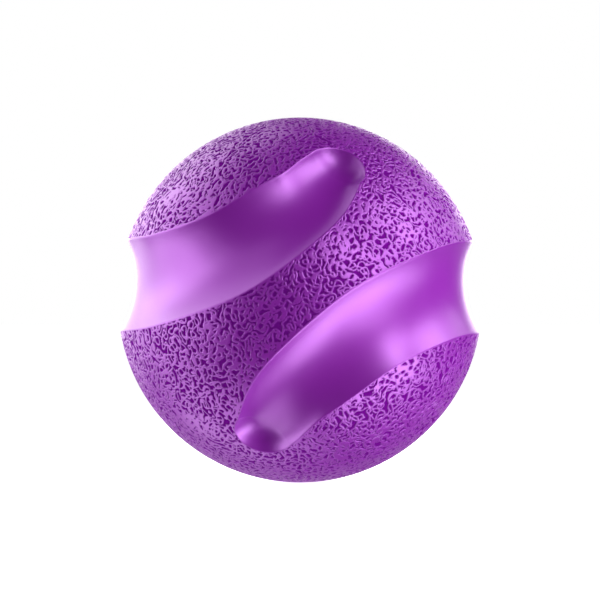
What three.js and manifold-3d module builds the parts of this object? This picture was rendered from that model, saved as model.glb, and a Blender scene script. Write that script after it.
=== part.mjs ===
// Playground rubber ball, 70 mm across: an inflated hand ball with two winding finger grooves.
//
// Frame: the origin is the ball's centre, +Z is up, -Y is the front and +Y is the valve. The moulded
// cover is in two like halves, which meet at the plane y = 0 with a film of rubber cement between
// them. Half a turn about Z carries one half, and one groove, onto the other.
// Lengths are in millimetres.

import * as THREE from "three";
import { mergeVertices } from "three/addons/utils/BufferGeometryUtils.js";
import Module from "manifold-3d";

// The ball and its layers, from the outside in.
const BALL_RADIUS = 35;
const COVER_THICKNESS = 5.4;
const WINDING_THICKNESS = 0.8;
const BLADDER_THICKNESS = 1.2;
const LAYER_GAP = 0.1;
const SEAM_THICKNESS = 0.3;

// The groove: a round-nosed channel that is wide at mid length and narrow at both ends.
const GROOVE_DEPTH = 3.3;
const GROOVE_CUTTER_RADIUS = 18.3;
const GROOVE_END_CUTTER_RADIUS = 6.9;
const GROOVE_TAPER_LENGTH = 31.5;
// Its centreline, as degrees around the ball from the left side towards the front, and degrees up.
const GROOVE_ROUTE = [
  [-106.3, -45.9],
  [-90, -28.2],
  [-65, -8.4],
  [-35, 2.2],
  [0, 4.6],
  [35, 6.3],
  [65, 14.6],
  [90, 31.2],
  [106.3, 45.9],
];

// The valve, on the +Y axis. Each level is a distance from the ball's centre.
const VALVE_CLEARANCE = 0.1;
const STEM_RADIUS = 2.6;
const STEM_TOP = 34.2;
const STEM_FOOT = 22.5;
const NECK_RADIUS = 3.3;
const FLANGE_RADIUS = 6.5;
const FLANGE_THICKNESS = 1;
const FLANGE_GAP = 0.3;
const CORE_RADIUS = 1.5;
const CORE_TOP = 33.9;
const NEEDLE_DIMPLE_RADIUS = 0.9;
const NEEDLE_DIMPLE_DEPTH = 1;
const CORE_BULB_RADIUS = 2.3;
const CORE_BULB_HEIGHT = 1.8;

// Facets.
const OUTER_FACETS = 48;
const LAYER_FACETS = 32;
const GROOVE_STEPS = 44;
const GROOVE_FACETS = 56;
const VALVE_FACETS = 24;

const COVER_INNER_RADIUS = BALL_RADIUS - COVER_THICKNESS;
const WINDING_RADIUS = COVER_INNER_RADIUS - LAYER_GAP;
const WINDING_INNER_RADIUS = WINDING_RADIUS - WINDING_THICKNESS;
const BLADDER_RADIUS = WINDING_INNER_RADIUS - LAYER_GAP;
const BLADDER_INNER_RADIUS = BLADDER_RADIUS - BLADDER_THICKNESS;

const manifold = await Module();
manifold.setup();

/** A closed geometry as a solid that can be joined and cut. */
function solidFrom(geometry) {
  const bare = geometry.clone();
  bare.deleteAttribute("normal");
  bare.deleteAttribute("uv");
  const welded = mergeVertices(bare);
  const shape = new manifold.Mesh({
    numProp: 3,
    vertProperties: new Float32Array(welded.attributes.position.array),
    triVerts: new Uint32Array(welded.index.array),
  });
  return new manifold.Manifold(shape);
}

/** A solid as a geometry with flat facets. */
function geometryFrom(solid) {
  const shape = solid.getMesh();
  const geometry = new THREE.BufferGeometry();
  geometry.setAttribute("position", new THREE.BufferAttribute(shape.vertProperties, 3));
  geometry.setIndex(new THREE.BufferAttribute(shape.triVerts, 1));
  const flat = geometry.toNonIndexed();
  flat.computeVertexNormals();
  return flat;
}

/** A sphere about the origin, with its poles on the Y axis. */
function sphere(radius, facets) {
  return solidFrom(new THREE.SphereGeometry(radius, facets, facets / 2));
}

/** The block of space between two levels of y, wider than the ball. */
function layerBetween(low, high) {
  const width = 4 * BALL_RADIUS;
  const block = new THREE.BoxGeometry(width, high - low, width);
  block.translate(0, (low + high) / 2, 0);
  return solidFrom(block);
}

/** The way from the ball's centre to a place on its surface. */
function direction([around, up]) {
  const a = THREE.MathUtils.degToRad(around);
  const b = THREE.MathUtils.degToRad(up);
  return new THREE.Vector3(-Math.cos(a) * Math.cos(b), -Math.sin(a) * Math.cos(b), Math.sin(b));
}

/** The groove's stations: where each is, how far along the ball's surface, and which way it runs. */
function grooveStations() {
  const route = new THREE.CatmullRomCurve3(GROOVE_ROUTE.map(direction), false, "catmullrom", 0.5);
  const stations = [];
  let along = 0;
  for (let i = 0; i <= GROOVE_STEPS; i += 1) {
    const out = route.getPoint(i / GROOVE_STEPS).normalize();
    if (i > 0) {
      along += BALL_RADIUS * out.angleTo(stations[i - 1].out);
    }
    const forward = route.getTangent(i / GROOVE_STEPS).projectOnPlane(out).normalize();
    const side = new THREE.Vector3().crossVectors(forward, out);
    stations.push({ out, forward, side, along });
  }
  for (const station of stations) {
    const toEnd = Math.min(station.along, along - station.along);
    const widening = Math.sin((Math.PI / 2) * Math.min(1, toEnd / GROOVE_TAPER_LENGTH));
    station.radius = THREE.MathUtils.lerp(GROOVE_END_CUTTER_RADIUS, GROOVE_CUTTER_RADIUS, widening);
    station.centre = station.out.clone();
    station.centre.multiplyScalar(BALL_RADIUS - GROOVE_DEPTH + station.radius);
  }
  return stations;
}

/** The bar that cuts the groove: a capsule bent along the stations, as thick as each one says. */
function grooveCutter() {
  const stations = grooveStations();
  const bar = new THREE.CapsuleGeometry(1, GROOVE_STEPS, 8, GROOVE_FACETS, GROOVE_STEPS);
  const place = bar.attributes.position;
  for (let i = 0; i < place.count; i += 1) {
    const step = THREE.MathUtils.clamp(place.getY(i) + GROOVE_STEPS / 2, 0, GROOVE_STEPS);
    const station = stations[Math.round(step)];
    const point = station.centre.clone();
    point.addScaledVector(station.side, place.getX(i) * station.radius);
    point.addScaledVector(station.out, place.getZ(i) * station.radius);
    point.addScaledVector(station.forward, (place.getY(i) + GROOVE_STEPS / 2 - step) * station.radius);
    place.setXYZ(i, point.x, point.y, point.z);
  }
  return solidFrom(bar);
}

/** The way through every layer at the valve. */
function valveHole() {
  const hole = new THREE.CylinderGeometry(
    STEM_RADIUS + VALVE_CLEARANCE,
    STEM_RADIUS + VALVE_CLEARANCE,
    BALL_RADIUS,
    VALVE_FACETS,
  );
  hole.translate(0, BALL_RADIUS, 0);
  return solidFrom(hole);
}

/** The cover before it is parted at the seam: a thick grooved shell. */
function wholeCover() {
  const cutter = grooveCutter();
  const otherCutter = cutter.rotate([0, 0, 180]);
  const grooved = sphere(BALL_RADIUS, OUTER_FACETS).subtract(cutter).subtract(otherCutter);
  return grooved.subtract(sphere(COVER_INNER_RADIUS, LAYER_FACETS));
}

/** A shell about the origin that is open at the valve. */
function layer(radius, innerRadius) {
  const shell = sphere(radius, LAYER_FACETS).subtract(sphere(innerRadius, LAYER_FACETS));
  return shell.subtract(valveHole());
}

/** The valve's housing: a stem with a through bore, and a flange that seats inside the bladder. */
function valveBody() {
  const bore = CORE_RADIUS + VALVE_CLEARANCE;
  const seat = BLADDER_INNER_RADIUS - FLANGE_GAP;
  const seatAngle = Math.asin(FLANGE_RADIUS / seat);
  const stemAngle = Math.asin(STEM_RADIUS / seat);
  const onArc = (radius, angle) => new THREE.Vector2(radius * Math.sin(angle), radius * Math.cos(angle));
  const angles = [0, 1, 2, 3].map((i) => THREE.MathUtils.lerp(seatAngle, stemAngle, i / 3));
  const under = seat - FLANGE_THICKNESS;
  const neckAngle = Math.asin(NECK_RADIUS / under);
  const profile = [
    new THREE.Vector2(bore, STEM_FOOT),
    new THREE.Vector2(NECK_RADIUS, STEM_FOOT),
    onArc(under, neckAngle),
    onArc(under, seatAngle),
    ...angles.map((angle) => onArc(seat, angle)),
    new THREE.Vector2(STEM_RADIUS, STEM_TOP),
    new THREE.Vector2(bore, STEM_TOP),
    new THREE.Vector2(bore, STEM_FOOT),
  ];
  return new THREE.LatheGeometry(profile, VALVE_FACETS);
}

/** The self-sealing plug: a dimple guides the needle in, and a bulb holds the plug against the air. */
function valveCore() {
  const bulbTop = STEM_FOOT - VALVE_CLEARANCE;
  const bulbFoot = bulbTop - CORE_BULB_HEIGHT;
  const profile = [
    new THREE.Vector2(0, bulbFoot),
    new THREE.Vector2(CORE_RADIUS, bulbFoot),
    new THREE.Vector2(CORE_BULB_RADIUS, bulbFoot + CORE_BULB_HEIGHT / 3),
    new THREE.Vector2(CORE_BULB_RADIUS, bulbTop),
    new THREE.Vector2(CORE_RADIUS, bulbTop),
    new THREE.Vector2(CORE_RADIUS, CORE_TOP),
    new THREE.Vector2(NEEDLE_DIMPLE_RADIUS, CORE_TOP),
    new THREE.Vector2(0, CORE_TOP - NEEDLE_DIMPLE_DEPTH),
  ];
  return new THREE.LatheGeometry(profile, VALVE_FACETS);
}

/** One named piece of the ball. */
function piece(name, geometry, material) {
  const mesh = new THREE.Mesh(geometry, material);
  mesh.name = name;
  return mesh;
}

function purpleRubber() {
  return new THREE.MeshStandardMaterial({ color: 0x963cb4, roughness: 0.35, metalness: 0 });
}

function rubberCement() {
  return new THREE.MeshStandardMaterial({ color: 0x5a1478, roughness: 0.6, metalness: 0 });
}

function nylonThread() {
  return new THREE.MeshStandardMaterial({ color: 0xe4dfd0, roughness: 0.8, metalness: 0 });
}

function butylRubber() {
  return new THREE.MeshStandardMaterial({ color: 0x1c1c1f, roughness: 0.55, metalness: 0 });
}

function valveRubber() {
  return new THREE.MeshStandardMaterial({ color: 0x2c2a30, roughness: 0.5, metalness: 0 });
}

function softRubber() {
  return new THREE.MeshStandardMaterial({ color: 0x57535c, roughness: 0.7, metalness: 0 });
}

const cover = wholeCover();
const seam = SEAM_THICKNESS / 2;
const frontHalf = cover.intersect(layerBetween(-2 * BALL_RADIUS, -seam));
const rearHalf = cover.intersect(layerBetween(seam, 2 * BALL_RADIUS)).subtract(valveHole());
const seamRing = cover.intersect(layerBetween(-seam, seam));

const ball = new THREE.Group();
ball.add(piece("front_cover", geometryFrom(frontHalf), purpleRubber()));
ball.add(piece("rear_cover", geometryFrom(rearHalf), purpleRubber()));
ball.add(piece("seam_cement", geometryFrom(seamRing), rubberCement()));
ball.add(piece("nylon_winding", geometryFrom(layer(WINDING_RADIUS, WINDING_INNER_RADIUS)), nylonThread()));
ball.add(piece("bladder", geometryFrom(layer(BLADDER_RADIUS, BLADDER_INNER_RADIUS)), butylRubber()));
ball.add(piece("valve_body", valveBody(), valveRubber()));
ball.add(piece("valve_core", valveCore(), softRubber()));

export default ball;
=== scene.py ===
"""Looks of the playground rubber ball: its moulded, pitted covers, its seam, its inner layers, and the
studio that shows it. Lengths are millimetres in the mesh code, and metres in Blender."""

import math

import bpy
import numpy as np
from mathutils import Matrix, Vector


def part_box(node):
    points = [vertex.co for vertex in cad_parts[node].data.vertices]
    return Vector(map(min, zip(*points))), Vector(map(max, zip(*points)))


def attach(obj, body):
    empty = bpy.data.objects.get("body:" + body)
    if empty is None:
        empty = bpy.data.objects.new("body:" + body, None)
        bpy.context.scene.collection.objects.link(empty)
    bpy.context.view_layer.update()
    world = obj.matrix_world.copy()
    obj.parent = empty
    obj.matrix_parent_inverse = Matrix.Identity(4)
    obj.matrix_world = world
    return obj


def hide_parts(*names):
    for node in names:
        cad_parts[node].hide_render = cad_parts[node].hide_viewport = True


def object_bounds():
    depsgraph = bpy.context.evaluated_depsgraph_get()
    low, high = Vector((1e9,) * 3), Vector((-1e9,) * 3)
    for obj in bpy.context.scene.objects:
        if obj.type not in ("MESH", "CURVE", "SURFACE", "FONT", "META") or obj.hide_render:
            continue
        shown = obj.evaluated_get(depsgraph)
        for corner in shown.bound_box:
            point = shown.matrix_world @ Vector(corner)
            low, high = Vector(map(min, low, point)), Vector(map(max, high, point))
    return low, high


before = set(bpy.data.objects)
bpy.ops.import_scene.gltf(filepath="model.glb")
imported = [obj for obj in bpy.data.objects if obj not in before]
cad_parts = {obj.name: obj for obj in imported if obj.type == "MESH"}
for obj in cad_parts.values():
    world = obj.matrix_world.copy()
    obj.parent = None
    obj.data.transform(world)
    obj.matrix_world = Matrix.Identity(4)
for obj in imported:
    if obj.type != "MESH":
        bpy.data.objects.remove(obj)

cad_low, cad_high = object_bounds()
MM = 0.001

# The ball's sizes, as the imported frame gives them, and the gaps and thicknesses inside.
BALL_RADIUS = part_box("seam_cement")[1].z / MM
WINDING_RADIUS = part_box("nylon_winding")[1].z / MM
SEAM_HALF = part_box("seam_cement")[1].y / MM
BLADDER_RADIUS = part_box("bladder")[1].z / MM
LAYER_GAP = 0.1
COVER_INNER_RADIUS = WINDING_RADIUS + LAYER_GAP
WINDING_THICKNESS = 0.8
BLADDER_THICKNESS = 1.2
VALVE_HOLE_RADIUS = 2.7

# The groove, as the CAD covers have it. Its route is in degrees from the left towards the front, and
# degrees up. A cutter of one radius along the middle, and of a smaller one at the ends, would cut it.
GROOVE_DEPTH = 3.3
GROOVE_CUTTER_RADIUS = 18.3
GROOVE_END_CUTTER_RADIUS = 6.9
GROOVE_TAPER_LENGTH = 31.5
GROOVE_ROUTE = [
    (-106.3, -45.9),
    (-90, -28.2),
    (-65, -8.4),
    (-35, 2.2),
    (0, 4.6),
    (35, 6.3),
    (65, 14.6),
    (90, 31.2),
    (106.3, 45.9),
]
GROOVE_SAMPLES = 60
GROOVE_LIP = 0.18

# The moulded pits: thin ridges and flat patches stay at full height, and what lies between is sunk.
# Ridges are (wavelength, width, seed). Patches are (wavelength, threshold, seed), and regions, which
# have more of them or fewer, are (wavelength, shift of that threshold, seed).
PIT_DEPTH = 0.13
RIDGE_WAVES = ((1.75, 0.3, 11), (2.4, 0.28, 12))
PATCH_WAVE = (1.25, 0.62, 13)
REGION_WAVE = (11.0, 0.4, 14)
WAVE_COUNT = 48
WAVE_SPREAD = 0.25

# A pit's wall, from its top to its floor, as distances from the ridge, and how far pits keep away from
# a groove, the seam and the valve hole.
PIT_WALL = (-0.02, 0.06)
GROOVE_MARGIN = 0.25
SEAM_MARGIN = 0.35
VALVE_MARGIN = 1.6

# The valve's housing and its needle core, as (radius, distance from the ball's centre).
HOUSING_PROFILE = [
    (1.6, 22.5),
    (3.3, 22.5),
    (3.3, 25.89),
    (6.5, 25.3),
    (6.5, 26.3),
    (4.6, 26.7),
    (2.6, 26.97),
    (2.6, 34.2),
    (2.3, 34.2),
    (2.2, 34.05),
    (2.05, 34.05),
    (1.95, 34.2),
    (1.6, 34.2),
]
CORE_PROFILE = [
    (0, 20.6),
    (1.5, 20.6),
    (2.3, 21.2),
    (2.3, 22.4),
    (1.5, 22.4),
    (1.5, 33.9),
    (0.9, 33.9),
    (0.25, 33.1),
    (0.16, 31.6),
    (0, 31.5),
]
FILLET = 0.2
FILLET_SHARE = 0.4
FILLET_POINTS = 5

# Mesh steps from the middle of a half ball to its rim, and round the turned and ring-shaped pieces.
OUTER_STEPS = 400
INNER_STEPS = 50
HOLE_RINGS = 6
WINDING_STEPS = 160
BLADDER_STEPS = 80
SHELL_RATIO = 2
TURN_STEPS = 96
SEAM_STEPS = 1200

# How many points are worked out at a time, to save memory.
GROOVE_CHUNK = 20000
WAVE_CHUNK = 50000

# The seam's sunk line, with the cement's crown and edges above and below its floor.
SEAM_DIP = 0.12
SEAM_CROWN = 0.05
SEAM_EDGE = 0.02
SEAM_CLEARANCE = 0.005

# The rounded lip of the valve hole, and where its wall flares out to the cover's inside.
HOLE_ROUND = 0.3
HOLE_ROUND_WIDTH = 0.5
HOLE_FLARE = 0.4

# The cord wound round the bladder: its seed, its turns, their shape, and how deep its bed and its first
# turn lie under the last one.
CORD_SEED = 21
CORD_TURNS = 260
CORD_HALF_WIDTH = 0.6
CORD_CREST = 0.2
CORD_BED_DEPTH = 0.5
CORD_FIRST_DEPTH = 0.3

# The bladder's parting line, and the thicker disc round its valve.
PARTING_HEIGHT = 0.06
PARTING_WIDTH = 0.6
DISC_HEIGHT = 0.05
DISC_RADIUS = 8
DISC_EDGE = 0.5

# The covers' rubber: two colours that cloud into each other, the pits' darker colour, which is painted
# shade in the recesses, and each setting on the ridges and in the pits. Grain roughness and colour
# clouds are from one end of their noise to the other.
# Scales are in waves per metre, and depths in metres.
LAND_COLOURS = ((0.18, 0.0095, 0.272), (0.2, 0.0115, 0.3))
PIT_SHADE_COLOUR = (0.092, 0.003, 0.152)
METALLIC = (0.3, 0.12)
SPECULAR = (0.5, 0.0)
COAT = (0.28, 0.0)
COAT_ROUGHNESS = 0.3
SPECULAR_TINT = (1, 0.85, 1, 1)
GRAIN_ROUGHNESS = (0.33, 0.43)
PIT_ROUGHNESS_RISE = (0, 0.25)
CLOUD_SCALE = 90
GRAIN_SCALE = 2500
GRAIN_STRENGTH = 0.15
GRAIN_DEPTH = 0.00002

# The other materials: dark colour, light colour, roughness and scale of the clouds.
PLAIN_MATERIALS = {
    "rubber_cement": ((0.06, 0.004, 0.1), (0.1, 0.007, 0.15), 0.5, 400),
    "nylon_cord": ((0.55, 0.54, 0.5), (0.75, 0.74, 0.7), 0.45, 900),
    "butyl_rubber": ((0.012, 0.012, 0.013), (0.022, 0.022, 0.024), 0.5, 120),
    "valve_rubber": ((0.02, 0.018, 0.024), (0.035, 0.032, 0.04), 0.45, 500),
    "soft_rubber": ((0.16, 0.15, 0.14), (0.23, 0.215, 0.2), 0.55, 600),
}
ROUGHNESS_SWING = 0.08
SKIN_FINENESS = 12
SKIN_STRENGTH = 0.2
SKIN_DEPTH = 0.00003

# The camera's distance and clipping in metres, and its lens and sensor in millimetres.
VIEW_DISTANCE = 0.9595
LENS = 300
SENSOR_WIDTH = 36
CLIP_START = 0.01
CLIP_END = 20

# The table, with its radius in metres, and the glow that reflections see behind the ball: its strength,
# and the share of +Y in a direction at which it starts.
TABLE_RADIUS = 6
TABLE_CORNERS = 96
TABLE_COLOUR = (0.85, 0.85, 0.86, 1)
TABLE_ROUGHNESS = 0.8
WHITE = (1, 1, 1, 1)
BACK_GLOW = 0.6
BACK_GLOW_START = 0.6

# The softboxes round the ball: degrees from the camera's side towards +X, degrees up, side in metres,
# and power in watts. Each stands SOFTBOX_DISTANCE metres off.
SOFTBOX_DISTANCE = 0.5
SOFTBOXES = {
    "left_softbox": (-88, 4, 0.42, 2.4),
    "left_low_softbox": (-98, -30, 0.3, 0.7),
    "high_left_softbox": (-114, 30, 0.4, 1.35),
    "top_left_softbox": (-66, 36, 0.35, 0.45),
    "back_left_softbox": (-130, 4, 0.35, 1.0),
    "floor_left_softbox": (-106, -65, 0.5, 2.1),
    "front_left_softbox": (-66, 2, 0.35, 0.65),
    "right_softbox": (32, 27, 0.22, 1.15),
    "mid_right_softbox": (45, 14, 0.22, 1.1),
    "high_right_softbox": (80, 34, 0.3, 2.2),
    "low_right_softbox": (58, -20, 0.22, 0.7),
    "side_right_softbox": (74, -38, 0.24, 1.25),
    "far_right_softbox": (90, -26, 0.22, 0.7),
    "floor_right_softbox": (58, -56, 0.22, 1.1),
    "high_back_left_softbox": (-144, 42, 0.35, 0.8),
    "high_side_right_softbox": (120, 28, 0.26, 0.5),
    "back_right_softbox": (165, 8, 0.2, 0.6),
    "rim_left_softbox": (-165, 8, 0.2, 0.5),
}


# ---------------------------------------------------------------- shape of the ball


def direction(around, up):
    """The way from the centre to a place: degrees from the left towards the front, and degrees up."""
    a, b = np.radians(around), np.radians(up)
    return np.stack([-np.cos(a) * np.cos(b), -np.sin(a) * np.cos(b), np.sin(b)], -1)


def unit(vectors):
    """The same ways, each with length 1."""
    return vectors / np.linalg.norm(vectors, axis=-1, keepdims=True)


def smooth_step(x, low, high):
    """Rises from 0 at low to 1 at high, level at both ends."""
    t = np.clip((x - low) / (high - low), 0, 1)
    return t * t * (3 - 2 * t)


def smooth_min(a, b, width):
    """The lower of two heights, with the corner between them rounded off."""
    h = np.clip(0.5 + 0.5 * (b - a) / width, 0, 1)
    return b + (a - b) * h - width * h * (1 - h)


def groove_line():
    """Points along the groove's centreline on the unit ball, and how far along each lies."""
    stops = direction(*np.array(GROOVE_ROUTE, float).T)
    stops = np.concatenate([[2 * stops[0] - stops[1]], stops, [2 * stops[-1] - stops[-2]]])
    t = np.linspace(0, 1, GROOVE_SAMPLES, endpoint=False)[:, None]
    line = []
    for before, start, end, after in zip(stops, stops[1:], stops[2:], stops[3:]):
        leave, arrive = 0.5 * (end - before), 0.5 * (after - start)
        cubic = (2 * start - 2 * end + leave + arrive) * t**3
        square = (-3 * start + 3 * end - 2 * leave - arrive) * t**2
        line.append(cubic + square + leave * t + start)
    line = unit(np.concatenate(line + [stops[-2][None]]))
    steps = np.linalg.norm(np.diff(line, axis=0), axis=1)
    return line, BALL_RADIUS * np.concatenate([[0], np.cumsum(steps)])


def cutter_radius(along, length):
    """The groove cutter's radius at a place along the groove. It narrows towards both ends."""
    to_end = np.minimum(along, length - along)
    widening = np.sin(np.pi / 2 * np.clip(to_end / GROOVE_TAPER_LENGTH, 0, 1))
    gain = GROOVE_CUTTER_RADIUS - GROOVE_END_CUTTER_RADIUS
    return GROOVE_END_CUTTER_RADIUS + gain * widening


def one_groove(ways, line, along):
    """Distance of one groove's surface from the ball's centre, along each way. Off the groove, it is
    more than the ball's radius."""
    dots = ways @ line.T
    nearest = np.argmax(dots, axis=1)
    row = np.arange(len(ways))
    inner = np.clip(nearest, 1, len(line) - 2)
    left, mid, right = dots[row, inner - 1], dots[row, inner], dots[row, inner + 1]
    shift = np.clip(0.5 * (left - right) / np.minimum(left - 2 * mid + right, -1e-12), -0.5, 0.5)
    at_end = nearest != inner
    shift = np.where(at_end, 0, shift)
    cosine = np.where(at_end, dots[row, nearest], mid - 0.25 * (left - right) * shift)
    place = np.interp(nearest + shift, np.arange(len(line)), along)
    radius = cutter_radius(place, along[-1])
    centre = BALL_RADIUS - GROOVE_DEPTH + radius
    inside = radius**2 - centre**2 * (1 - cosine**2)
    return np.where(inside > 0, centre * cosine - np.sqrt(np.maximum(inside, 0)), 2 * BALL_RADIUS)


def groove_height(ways):
    """The lower of the two like grooves, which lie half a turn about Z apart."""
    line, along = groove_line()
    half_turn = np.array([-1, -1, 1])
    height = np.empty(len(ways))
    for start in range(0, len(ways), GROOVE_CHUNK):
        part = ways[start : start + GROOVE_CHUNK]
        first = one_groove(part, line, along)
        second = one_groove(part * half_turn, line, along)
        height[start : start + GROOVE_CHUNK] = np.minimum(first, second)
    return height


def waves(points, wavelength, seed):
    """A random smooth field with about one wavelength, and its slope, at each point."""
    draw = np.random.default_rng(seed)
    ways = unit(draw.normal(size=(WAVE_COUNT, 3)))
    pace = 2 * np.pi / wavelength * (1 + WAVE_SPREAD * draw.uniform(-1, 1, WAVE_COUNT))
    turns = ways * pace[:, None]
    start = draw.uniform(0, 2 * np.pi, WAVE_COUNT)
    field = np.empty(len(points))
    slope = np.empty((len(points), 3))
    for low in range(0, len(points), WAVE_CHUNK):
        chunk = slice(low, low + WAVE_CHUNK)
        angle = points[chunk] @ turns.T + start
        field[chunk] = np.cos(angle).sum(1)
        slope[chunk] = -np.sin(angle) @ turns
    scale = math.sqrt(2 / WAVE_COUNT)
    return field * scale, slope * scale


def steepness(slope, ways):
    """How steep a field is along the ball's surface."""
    along = slope - (slope * ways).sum(1, keepdims=True) * ways
    return np.maximum(np.linalg.norm(along, axis=1), 1e-6)


def ridge_distance(ways):
    """How far each place lies from the raised ridges and patches. On them it is negative."""
    points = ways * BALL_RADIUS
    distance = np.full(len(points), 1e3)
    for wavelength, width, seed in RIDGE_WAVES:
        field, slope = waves(points, wavelength, seed)
        distance = np.minimum(distance, np.abs(field) / steepness(slope, ways) - width / 2)
    region_wavelength, shift, region_seed = REGION_WAVE
    patch_wavelength, threshold, patch_seed = PATCH_WAVE
    region, _ = waves(points, region_wavelength, region_seed)
    field, slope = waves(points, patch_wavelength, patch_seed)
    level = threshold + shift * region
    return np.minimum(distance, (level - field) / steepness(slope, ways))


def cover_surface(ways, with_valve):
    """Height of a cover's outside along each way, and how sunk in a pit each place is, from 0 to 1.
    The ways are those of a half towards -Y, round whose middle the valve hole lies."""
    groove = groove_height(ways)
    distance = ridge_distance(ways)
    distance = np.minimum(distance, (groove - BALL_RADIUS) - GROOVE_MARGIN)
    distance = np.minimum(distance, BALL_RADIUS * np.abs(ways[:, 1]) - SEAM_HALF - SEAM_MARGIN)
    if with_valve:
        off_axis = BALL_RADIUS * np.hypot(ways[:, 0], ways[:, 2])
        distance = np.minimum(distance, off_axis - VALVE_HOLE_RADIUS - VALVE_MARGIN)
    pit = smooth_step(distance, *PIT_WALL)
    land = BALL_RADIUS - PIT_DEPTH * pit
    if with_valve:
        to_flat = 1 - (off_axis - VALVE_HOLE_RADIUS) / HOLE_ROUND_WIDTH
        land -= HOLE_ROUND * np.clip(to_flat, 0, 1) ** 2
    return smooth_min(land, groove, GROOVE_LIP), pit


# ---------------------------------------------------------------- mesh building


def half_grid(steps, radius, hole_steps, seam_half):
    """Ways on a half ball towards -Y, from a square grid whose squares become rings round the Y axis.
    One ring falls on the edge of the valve hole, and the last one on the seam."""
    side = np.arange(-steps, steps + 1) / steps
    u, v = np.meshgrid(side, side, indexing="xy")
    ring = np.maximum(np.abs(u), np.abs(v))
    wide = np.abs(u) >= np.abs(v)
    with np.errstate(divide="ignore", invalid="ignore"):
        turn = np.where(wide, np.pi / 4 * v / u, np.pi / 2 - np.pi / 4 * u / v)
    turn = np.nan_to_num(turn) + np.where(np.where(wide, u, v) < 0, np.pi, 0)
    rim = math.acos(seam_half / radius)
    hole = hole_steps / steps
    stretch = (math.asin(VALVE_HOLE_RADIUS / radius) / rim / hole - 1) / (1 - hole)
    lean = rim * ring * (1 + stretch * (1 - ring))
    ways = np.stack([np.sin(lean) * np.cos(turn), -np.cos(lean), np.sin(lean) * np.sin(turn)], -1)
    return ways.reshape(-1, 3)


def hole_ring(steps, radius):
    """Which ring of a grid lies nearest to the valve hole's edge."""
    return max(1, round(steps * math.asin(VALVE_HOLE_RADIUS / radius) / (np.pi / 2)))


def grid_quads(steps, hole_steps=0):
    """The grid's faces, seen from -Y, without those over the valve hole."""
    width = 2 * steps + 1
    i, j = np.meshgrid(np.arange(2 * steps), np.arange(2 * steps), indexing="xy")
    i, j = i.ravel(), j.ravel()
    if hole_steps:
        near = (np.abs(i + 0.5 - steps) < hole_steps) & (np.abs(j + 0.5 - steps) < hole_steps)
        i, j = i[~near], j[~near]
    corner = j * width + i
    return np.stack([corner, corner + 1, corner + width + 1, corner + width], -1)


def grid_loop(steps, ring):
    """The grid's points on one square ring, in order round it."""
    width = 2 * steps + 1
    low, high = steps - ring, steps + ring
    run = np.arange(low, high)
    back = np.arange(high, low, -1)
    columns = np.concatenate([run, np.full(2 * ring, high), back, np.full(2 * ring, low)])
    rows = np.concatenate([np.full(2 * ring, low), run, np.full(2 * ring, high), back])
    return rows * width + columns


def stitch(fine, coarse, flip):
    """Faces between a fine loop and a coarse loop, whose points divide the fine one's evenly."""
    ratio = len(fine) // len(coarse)
    faces = []
    for k in range(len(coarse)):
        span = [fine[(k * ratio + s) % len(fine)] for s in range(ratio + 1)]
        face = span + [coarse[(k + 1) % len(coarse)], coarse[k]]
        faces.append(face[::-1] if flip else face)
    return faces


def ring_band(first, second, flip):
    """Quads between two loops of the same length."""
    a, b = np.asarray(first), np.asarray(second)
    quads = np.stack([a, np.roll(a, -1), np.roll(b, -1), b], -1)
    return quads[:, ::-1] if flip else quads


def build_mesh(name, points, quads, other_faces, flat_faces=0, pit=None):
    """A mesh from points in millimetres, quads and other faces, of which the last few are shaded flat.
    Points that no face uses are left out. How sunk each point is goes with it as "pit"."""
    mesh = bpy.data.meshes.new(name)
    loops = np.concatenate([quads.ravel()] + [np.asarray(face) for face in other_faces])
    other_sizes = [len(face) for face in other_faces]
    sizes = np.concatenate([np.full(len(quads), 4), other_sizes]).astype(np.int32)
    used, loops = np.unique(loops, return_inverse=True)
    points, loops = points[used], loops.ravel().astype(np.int32)
    mesh.vertices.add(len(points))
    mesh.vertices.foreach_set("co", (points * MM).astype(np.float32).ravel())
    mesh.loops.add(len(loops))
    mesh.loops.foreach_set("vertex_index", loops)
    mesh.polygons.add(len(sizes))
    starts = np.concatenate([[0], np.cumsum(sizes)[:-1]]).astype(np.int32)
    mesh.polygons.foreach_set("loop_start", starts)
    smooth = np.ones(len(sizes), bool)
    if flat_faces:
        smooth[-flat_faces:] = False
    mesh.polygons.foreach_set("use_smooth", smooth)
    mesh.update(calc_edges=True)
    if pit is not None:
        mesh.attributes.new("pit", "FLOAT", "POINT").data.foreach_set("value", pit[used])
    return mesh


def add_piece(name, mesh, material, slot, *nodes):
    """Shows a mesh in place of CAD nodes, in its finish, on the ball's one body."""
    piece = bpy.data.objects.new(name, mesh)
    bpy.context.scene.collection.objects.link(piece)
    mesh.materials.append(material)
    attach(piece, "root")
    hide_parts(*nodes)
    return piece


def hole_wall(lip, inner_loop, start):
    """The valve hole's wall, as rings of points down from its lip, and faces down to the inner loop.
    Lip is the outer points' places, and start is the number of the wall's first point."""
    turn = np.arctan2(lip[:, 2], lip[:, 0])
    top = lip[:, 1].mean()
    foot = -(COVER_INNER_RADIUS + HOLE_FLARE)
    rings, quads = [], []
    for k in range(HOLE_RINGS):
        level = top + (foot - top) * (k + 1) / HOLE_RINGS
        across, up = VALVE_HOLE_RADIUS * np.cos(turn), VALVE_HOLE_RADIUS * np.sin(turn)
        rings.append(np.stack([across, np.full(len(turn), level), up], -1))
    loops = np.arange(start, start + HOLE_RINGS * len(turn)).reshape(HOLE_RINGS, -1)
    for first, second in zip(loops, loops[1:]):
        quads.append(ring_band(first, second, False))
    return rings, quads, loops[0], stitch(list(loops[-1]), list(inner_loop), False)


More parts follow.
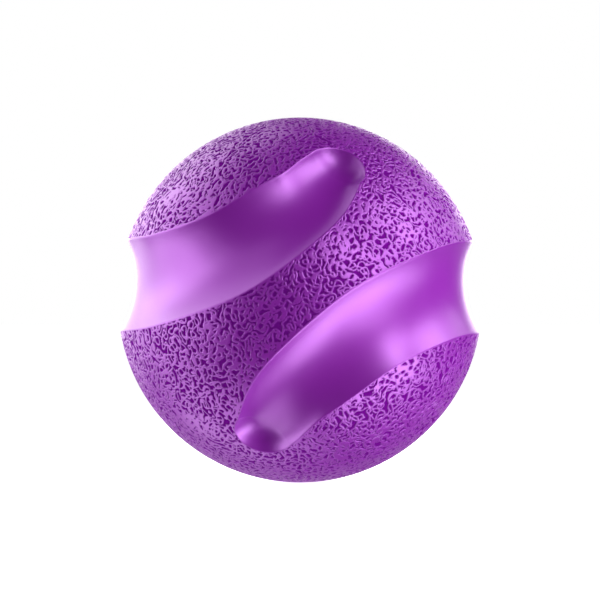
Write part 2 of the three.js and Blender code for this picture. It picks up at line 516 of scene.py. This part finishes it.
def cover_mesh(name, rear):
    """One moulded half: pitted outside, smooth inside, and flat at the seam. The rear one is turned
    half round about Z and has the valve hole."""
    ratio = OUTER_STEPS // INNER_STEPS
    inner_hole = hole_ring(INNER_STEPS, BALL_RADIUS)
    outer_hole = inner_hole * ratio
    outer_ways = half_grid(OUTER_STEPS, BALL_RADIUS, outer_hole, SEAM_HALF)
    inner_ways = half_grid(INNER_STEPS, COVER_INNER_RADIUS, inner_hole, SEAM_HALF)
    height, pit = cover_surface(outer_ways, rear)
    outer = outer_ways * height[:, None]
    rim = grid_loop(OUTER_STEPS, OUTER_STEPS)
    outer[rim] *= 1 - SEAM_DIP / np.linalg.norm(outer[rim], axis=1, keepdims=True)
    outer[rim, 1] = -SEAM_HALF
    points = [outer, inner_ways * COVER_INNER_RADIUS]
    first_inner = len(outer)
    outer_quads = grid_quads(OUTER_STEPS, outer_hole if rear else 0)
    inner_quads = grid_quads(INNER_STEPS, inner_hole if rear else 0)[:, ::-1] + first_inner
    quads, wide_faces = [outer_quads, inner_quads], []
    if rear:
        lip = grid_loop(OUTER_STEPS, outer_hole)
        inner_loop = grid_loop(INNER_STEPS, inner_hole) + first_inner
        first_wall = first_inner + len(inner_ways)
        wall, wall_quads, top_loop, foot_faces = hole_wall(outer[lip], inner_loop, first_wall)
        points += wall
        quads += [ring_band(lip, top_loop, False)] + wall_quads
        wide_faces += foot_faces
    inner_rim = list(grid_loop(INNER_STEPS, INNER_STEPS) + first_inner)
    wide_faces += stitch(list(rim), inner_rim, True)
    points = np.concatenate(points)
    sunk = np.zeros(len(points), np.float32)
    sunk[: len(pit)] = pit
    if rear:
        points = points * np.array([-1, -1, 1])
    return build_mesh(name, points, np.concatenate(quads), wide_faces, len(inner_rim), sunk)


def shell_mesh(name, steps, height, inner_radius):
    """A closed layer inside the ball, with a hole at the valve. Its outer height goes by the way."""
    inner_steps = steps // SHELL_RATIO
    inner_hole = hole_ring(inner_steps, inner_radius)
    sides = ((True, steps, inner_hole * SHELL_RATIO), (False, inner_steps, inner_hole))
    points, quads, hole_loops = [], [], []
    start = 0
    for outside, count, hole in sides:
        front_ways = half_grid(count, inner_radius, hole, 0)
        rim = grid_loop(count, count)
        front_ways[rim, 1] = 0
        for ways in (front_ways, front_ways * np.array([1, -1, 1])):
            tall = height(ways) if outside else np.full(len(ways), inner_radius)
            points.append(ways * tall[:, None])
        rear_number = np.arange(len(front_ways)) + start + len(front_ways)
        rear_number[rim] = rim + start
        front = grid_quads(count) + start
        rear = rear_number[grid_quads(count, hole)][:, ::-1]
        quads += [front, rear] if outside else [front[:, ::-1], rear[:, ::-1]]
        hole_loops.append(rear_number[grid_loop(count, hole)])
        start += 2 * len(front_ways)
    wall = stitch(list(hole_loops[0]), list(hole_loops[1]), True)
    return build_mesh(name, np.concatenate(points), np.concatenate(quads), wall, flat_faces=len(wall))


def winding_height(ways):
    """Nylon cord wound over the bladder in great circles, the later turns over the earlier ones."""
    draw = np.random.default_rng(CORD_SEED)
    poles = unit(draw.normal(size=(CORD_TURNS, 3)))
    height = np.full(len(ways), WINDING_RADIUS - CORD_BED_DEPTH)
    for turn, pole in enumerate(poles):
        off = np.abs(ways @ pole) * WINDING_RADIUS / CORD_HALF_WIDTH
        buried = CORD_FIRST_DEPTH * (1 - turn / CORD_TURNS)
        edge = WINDING_RADIUS - buried - CORD_CREST
        crest = edge + CORD_CREST * np.sqrt(np.clip(1 - off**2, 0, 1))
        height = np.where(off < 1, crest, height)
    return height


def bladder_height(ways):
    """A moulded bladder: smooth, with the mould's parting line and a thicker disc at the valve."""
    parting = PARTING_HEIGHT * np.exp(-((ways[:, 1] * BLADDER_RADIUS / PARTING_WIDTH) ** 2))
    off_axis = BLADDER_RADIUS * np.hypot(ways[:, 0], ways[:, 2])
    inside = smooth_step(-off_axis, -DISC_RADIUS - DISC_EDGE, -DISC_RADIUS + DISC_EDGE)
    disc = DISC_HEIGHT * inside * (ways[:, 1] > 0)
    return BLADDER_RADIUS - PARTING_HEIGHT + parting + disc


def rounded(corners, closed):
    """A profile's corners with each one rounded off."""
    corners = np.array(corners, float)
    count = len(corners)
    out = []
    for k in range(count):
        if not closed and k in (0, count - 1):
            out.append(corners[k])
            continue
        here, before, after = corners[k], corners[k - 1], corners[(k + 1) % count]
        back, ahead = before - here, after - here
        back_length, ahead_length = np.linalg.norm(back), np.linalg.norm(ahead)
        reach = min(FILLET, FILLET_SHARE * back_length, FILLET_SHARE * ahead_length)
        first = here + back / back_length * reach
        last = here + ahead / ahead_length * reach
        for t in np.linspace(0, 1, FILLET_POINTS):
            out.append((1 - t) ** 2 * first + 2 * t * (1 - t) * here + t**2 * last)
    return np.array(out)


def lathe_mesh(name, corners, closed):
    """A solid turned about the valve's axis from its (radius, level) corners."""
    profile = rounded(corners, closed)
    turn = np.linspace(0, 2 * np.pi, TURN_STEPS, endpoint=False)
    rings = np.stack(
        [
            profile[:, :1] * np.cos(turn),
            np.repeat(profile[:, 1:], TURN_STEPS, axis=1),
            profile[:, :1] * np.sin(turn),
        ],
        -1,
    )
    loops = np.arange(len(profile) * TURN_STEPS).reshape(len(profile), TURN_STEPS)
    if closed:
        quads = [ring_band(a, b, True) for a, b in zip(loops, np.roll(loops, -1, axis=0))]
        return build_mesh(name, rings.reshape(-1, 3), np.concatenate(quads), [])
    points = np.concatenate([rings[1:-1].reshape(-1, 3), rings[0, :1], rings[-1, :1]])
    loops = loops[:-2]
    foot, top = len(points) - 2, len(points) - 1
    caps = [[foot, loops[0][k], loops[0][(k + 1) % TURN_STEPS]] for k in range(TURN_STEPS)]
    caps += [[top, loops[-1][(k + 1) % TURN_STEPS], loops[-1][k]] for k in range(TURN_STEPS)]
    quads = [ring_band(a, b, True) for a, b in zip(loops[:-1], loops[1:])]
    return build_mesh(name, points, np.concatenate(quads), caps)


def seam_mesh(name):
    """The film of cement between the halves: a thin ring that follows the cover's outline."""
    around = np.linspace(0, 2 * np.pi, SEAM_STEPS, endpoint=False)
    ways = np.stack([np.cos(around), np.zeros(SEAM_STEPS), np.sin(around)], -1)
    outline = np.minimum(groove_height(ways), BALL_RADIUS)
    outline = smooth_min(np.full(SEAM_STEPS, BALL_RADIUS), outline, GROOVE_LIP)
    inside = np.full(SEAM_STEPS, COVER_INNER_RADIUS)
    half = SEAM_HALF - SEAM_CLEARANCE
    section = (
        (outline - SEAM_DIP - SEAM_EDGE, -half),
        (outline - SEAM_DIP + SEAM_CROWN, 0),
        (outline - SEAM_DIP - SEAM_EDGE, half),
        (inside, half),
        (inside, -half),
    )
    points = [ways * reach[:, None] + np.array([0, level, 0]) for reach, level in section]
    loops = np.arange(len(section) * SEAM_STEPS).reshape(len(section), SEAM_STEPS)
    quads = [ring_band(a, b, True) for a, b in zip(loops, np.roll(loops, -1, axis=0))]
    return build_mesh(name, np.concatenate(points), np.concatenate(quads), [])


# ---------------------------------------------------------------- materials


def new_material(name):
    """A new material, its node tree and its shader."""
    material = bpy.data.materials.new(name)
    material.use_nodes = True
    tree = material.node_tree
    return material, tree, tree.nodes["Principled BSDF"]


def noise(tree, scale, detail):
    """Noise over the piece's own place in space, scale in waves per metre."""
    place = tree.nodes.new("ShaderNodeTexCoord")
    node = tree.nodes.new("ShaderNodeTexNoise")
    node.inputs["Scale"].default_value = scale
    node.inputs["Detail"].default_value = detail
    tree.links.new(place.outputs["Object"], node.inputs["Vector"])
    return node.outputs["Fac"]


def ramp(tree, source, low, high):
    """A source from 0 to 1, carried to the range from low to high."""
    node = tree.nodes.new("ShaderNodeMapRange")
    node.inputs["To Min"].default_value = low
    node.inputs["To Max"].default_value = high
    tree.links.new(source, node.inputs["Value"])
    return node.outputs["Result"]


def mix_colour(tree, share, first, second):
    """A mix of two colours, each a plain colour or a socket. Sockets 6 and 7 take the colours."""
    node = tree.nodes.new("ShaderNodeMix")
    node.data_type = "RGBA"
    tree.links.new(share, node.inputs["Factor"])
    for socket, value in ((node.inputs[6], first), (node.inputs[7], second)):
        if isinstance(value, tuple):
            socket.default_value = (*value, 1)
        else:
            tree.links.new(value, socket)
    return node.outputs[2]


def skin(tree, shader, grain, strength, depth):
    """Bumps as fine as the grain, depth in metres."""
    bump = tree.nodes.new("ShaderNodeBump")
    bump.inputs["Strength"].default_value = strength
    bump.inputs["Distance"].default_value = depth
    tree.links.new(grain, bump.inputs["Height"])
    tree.links.new(bump.outputs["Normal"], shader.inputs["Normal"])


def purple_rubber():
    """Moulded purple rubber: satin on the ridges and in the grooves, duller in the pits, and darker
    there with painted shade.
    """
    material, tree, shader = new_material("purple_rubber")
    tree.nodes.new("ShaderNodeAttribute").attribute_name = "pit"
    pit = tree.nodes["Attribute"].outputs["Fac"]
    cloud = noise(tree, CLOUD_SCALE, 2)
    land = mix_colour(tree, cloud, *LAND_COLOURS)
    # The pits' darker base colour is painted shade in the recesses, not a colour of the rubber.
    colour = mix_colour(tree, pit, land, PIT_SHADE_COLOUR)
    tree.links.new(ramp(tree, pit, *METALLIC), shader.inputs["Metallic"])
    tree.links.new(ramp(tree, pit, *SPECULAR), shader.inputs["Specular IOR Level"])
    tree.links.new(ramp(tree, pit, *COAT), shader.inputs["Coat Weight"])
    shader.inputs["Coat Roughness"].default_value = COAT_ROUGHNESS
    shader.inputs["Specular Tint"].default_value = SPECULAR_TINT
    tree.links.new(colour, shader.inputs["Base Color"])
    grain = noise(tree, GRAIN_SCALE, 3)
    rough = tree.nodes.new("ShaderNodeMath")
    rough.operation = "ADD"
    tree.links.new(ramp(tree, pit, *PIT_ROUGHNESS_RISE), rough.inputs[0])
    tree.links.new(ramp(tree, grain, *GRAIN_ROUGHNESS), rough.inputs[1])
    tree.links.new(rough.outputs[0], shader.inputs["Roughness"])
    skin(tree, shader, grain, GRAIN_STRENGTH, GRAIN_DEPTH)
    return material


def plain_material(name, dark, light, rough, scale):
    """A rubber or cord with cloudy colour, uneven sheen and a fine skin."""
    material, tree, shader = new_material(name)
    colour = mix_colour(tree, noise(tree, scale, 3), dark, light)
    tree.links.new(colour, shader.inputs["Base Color"])
    grain = noise(tree, SKIN_FINENESS * scale, 2)
    sheen = ramp(tree, grain, rough - ROUGHNESS_SWING, rough + ROUGHNESS_SWING)
    tree.links.new(sheen, shader.inputs["Roughness"])
    skin(tree, shader, grain, SKIN_STRENGTH, SKIN_DEPTH)
    return material


# ---------------------------------------------------------------- the studio


def aim(thing, place):
    """Stands a lamp or the camera at a place, turned to face the ball's centre."""
    thing.location = place
    thing.rotation_mode = "QUATERNION"
    thing.rotation_quaternion = place.to_track_quat("Z", "Y")


def softbox(name, around, up, size, power):
    """A square area light that faces the ball and that the camera doesn't see."""
    a, b = math.radians(around), math.radians(up)
    light = bpy.data.lights.new(name, "AREA")
    light.size = size
    light.energy = power
    box = bpy.data.objects.new(name, light)
    bpy.context.scene.collection.objects.link(box)
    box.visible_camera = False
    toward = Vector((math.sin(a) * math.cos(b), -math.cos(a) * math.cos(b), math.sin(b)))
    aim(box, SOFTBOX_DISTANCE * toward)


def backdrop():
    """White for the camera. Reflections see a glow behind the ball, and dark all round."""
    world = bpy.data.worlds.new("backdrop")
    bpy.context.scene.world = world
    world.use_nodes = True
    tree = world.node_tree
    sky = tree.nodes["Background"]
    sky.inputs["Color"].default_value = WHITE
    path = tree.nodes.new("ShaderNodeLightPath")
    place = tree.nodes.new("ShaderNodeTexCoord")
    split = tree.nodes.new("ShaderNodeSeparateXYZ")
    tree.links.new(place.outputs["Generated"], split.inputs["Vector"])
    behind = tree.nodes.new("ShaderNodeMapRange")
    behind.interpolation_type = "SMOOTHSTEP"
    behind.inputs["From Min"].default_value = BACK_GLOW_START
    behind.inputs["From Max"].default_value = 1.0
    behind.inputs["To Min"].default_value = 0.0
    behind.inputs["To Max"].default_value = BACK_GLOW
    tree.links.new(split.outputs["Y"], behind.inputs["Value"])
    mix = tree.nodes.new("ShaderNodeMix")
    mix.inputs[3].default_value = 1.0
    tree.links.new(path.outputs["Is Camera Ray"], mix.inputs["Factor"])
    tree.links.new(behind.outputs["Result"], mix.inputs[2])
    tree.links.new(mix.outputs[0], sky.inputs["Strength"])


def table():
    """The pale table that the ball rests on. Only the camera sees it, and it glows, so the ball stands
    on white and no shade or tint comes back from below."""
    material, tree, shader = new_material("pale_table")
    shader.inputs["Base Color"].default_value = TABLE_COLOUR
    shader.inputs["Roughness"].default_value = TABLE_ROUGHNESS
    glow = tree.nodes.new("ShaderNodeEmission")
    path = tree.nodes.new("ShaderNodeLightPath")
    glow.inputs["Color"].default_value = WHITE
    tree.links.new(path.outputs["Is Camera Ray"], glow.inputs["Strength"])
    both = tree.nodes.new("ShaderNodeAddShader")
    tree.links.new(shader.outputs[0], both.inputs[0])
    tree.links.new(glow.outputs[0], both.inputs[1])
    tree.links.new(both.outputs[0], tree.nodes["Material Output"].inputs["Surface"])
    bpy.ops.mesh.primitive_circle_add(vertices=TABLE_CORNERS, radius=TABLE_RADIUS, fill_type="NGON")
    top = bpy.context.object
    top.location = (0, 0, cad_low.z)
    top.name = "table_top"
    top.data.materials.append(material)
    top.visible_shadow = False
    top.visible_diffuse = False
    top.visible_glossy = False


def camera():
    """A long lens at the ball's own height, straight at its front."""
    data = bpy.data.cameras.new("camera")
    data.lens = LENS
    data.sensor_width = SENSOR_WIDTH
    eye = bpy.data.objects.new("camera", data)
    bpy.context.scene.collection.objects.link(eye)
    aim(eye, Vector((0, -VIEW_DISTANCE, 0)))
    data.clip_start = CLIP_START
    data.clip_end = CLIP_END
    bpy.context.scene.camera = eye


camera()
backdrop()
table()
for box_name, (around, up, size, power) in SOFTBOXES.items():
    softbox(box_name, around, up, size, power)
bpy.context.scene.view_settings.view_transform = "Standard"

purple = purple_rubber()
plain = {name: plain_material(name, *look) for name, look in PLAIN_MATERIALS.items()}

front = cover_mesh("front_cover_moulding", False)
rear = cover_mesh("rear_cover_moulding", True)
seam = seam_mesh("seam_bead")
winding_inside = WINDING_RADIUS - WINDING_THICKNESS
winding = shell_mesh("wound_cord", WINDING_STEPS, winding_height, winding_inside)
bladder_inside = BLADDER_RADIUS - BLADDER_THICKNESS
bladder = shell_mesh("moulded_bladder", BLADDER_STEPS, bladder_height, bladder_inside)
housing = lathe_mesh("valve_housing", HOUSING_PROFILE, True)
core = lathe_mesh("needle_core", CORE_PROFILE, False)

add_piece("front_cover_moulding", front, purple, "cover_rubber", "front_cover")
add_piece("rear_cover_moulding", rear, purple, "cover_rubber", "rear_cover")
add_piece("seam_bead", seam, plain["rubber_cement"], "rubber_cement", "seam_cement")
add_piece("wound_cord", winding, plain["nylon_cord"], "nylon_thread", "nylon_winding")
add_piece("moulded_bladder", bladder, plain["butyl_rubber"], "butyl_rubber", "bladder")
add_piece("valve_housing", housing, plain["valve_rubber"], "valve_rubber", "valve_body")
add_piece("needle_core", core, plain["soft_rubber"], "soft_rubber", "valve_core")
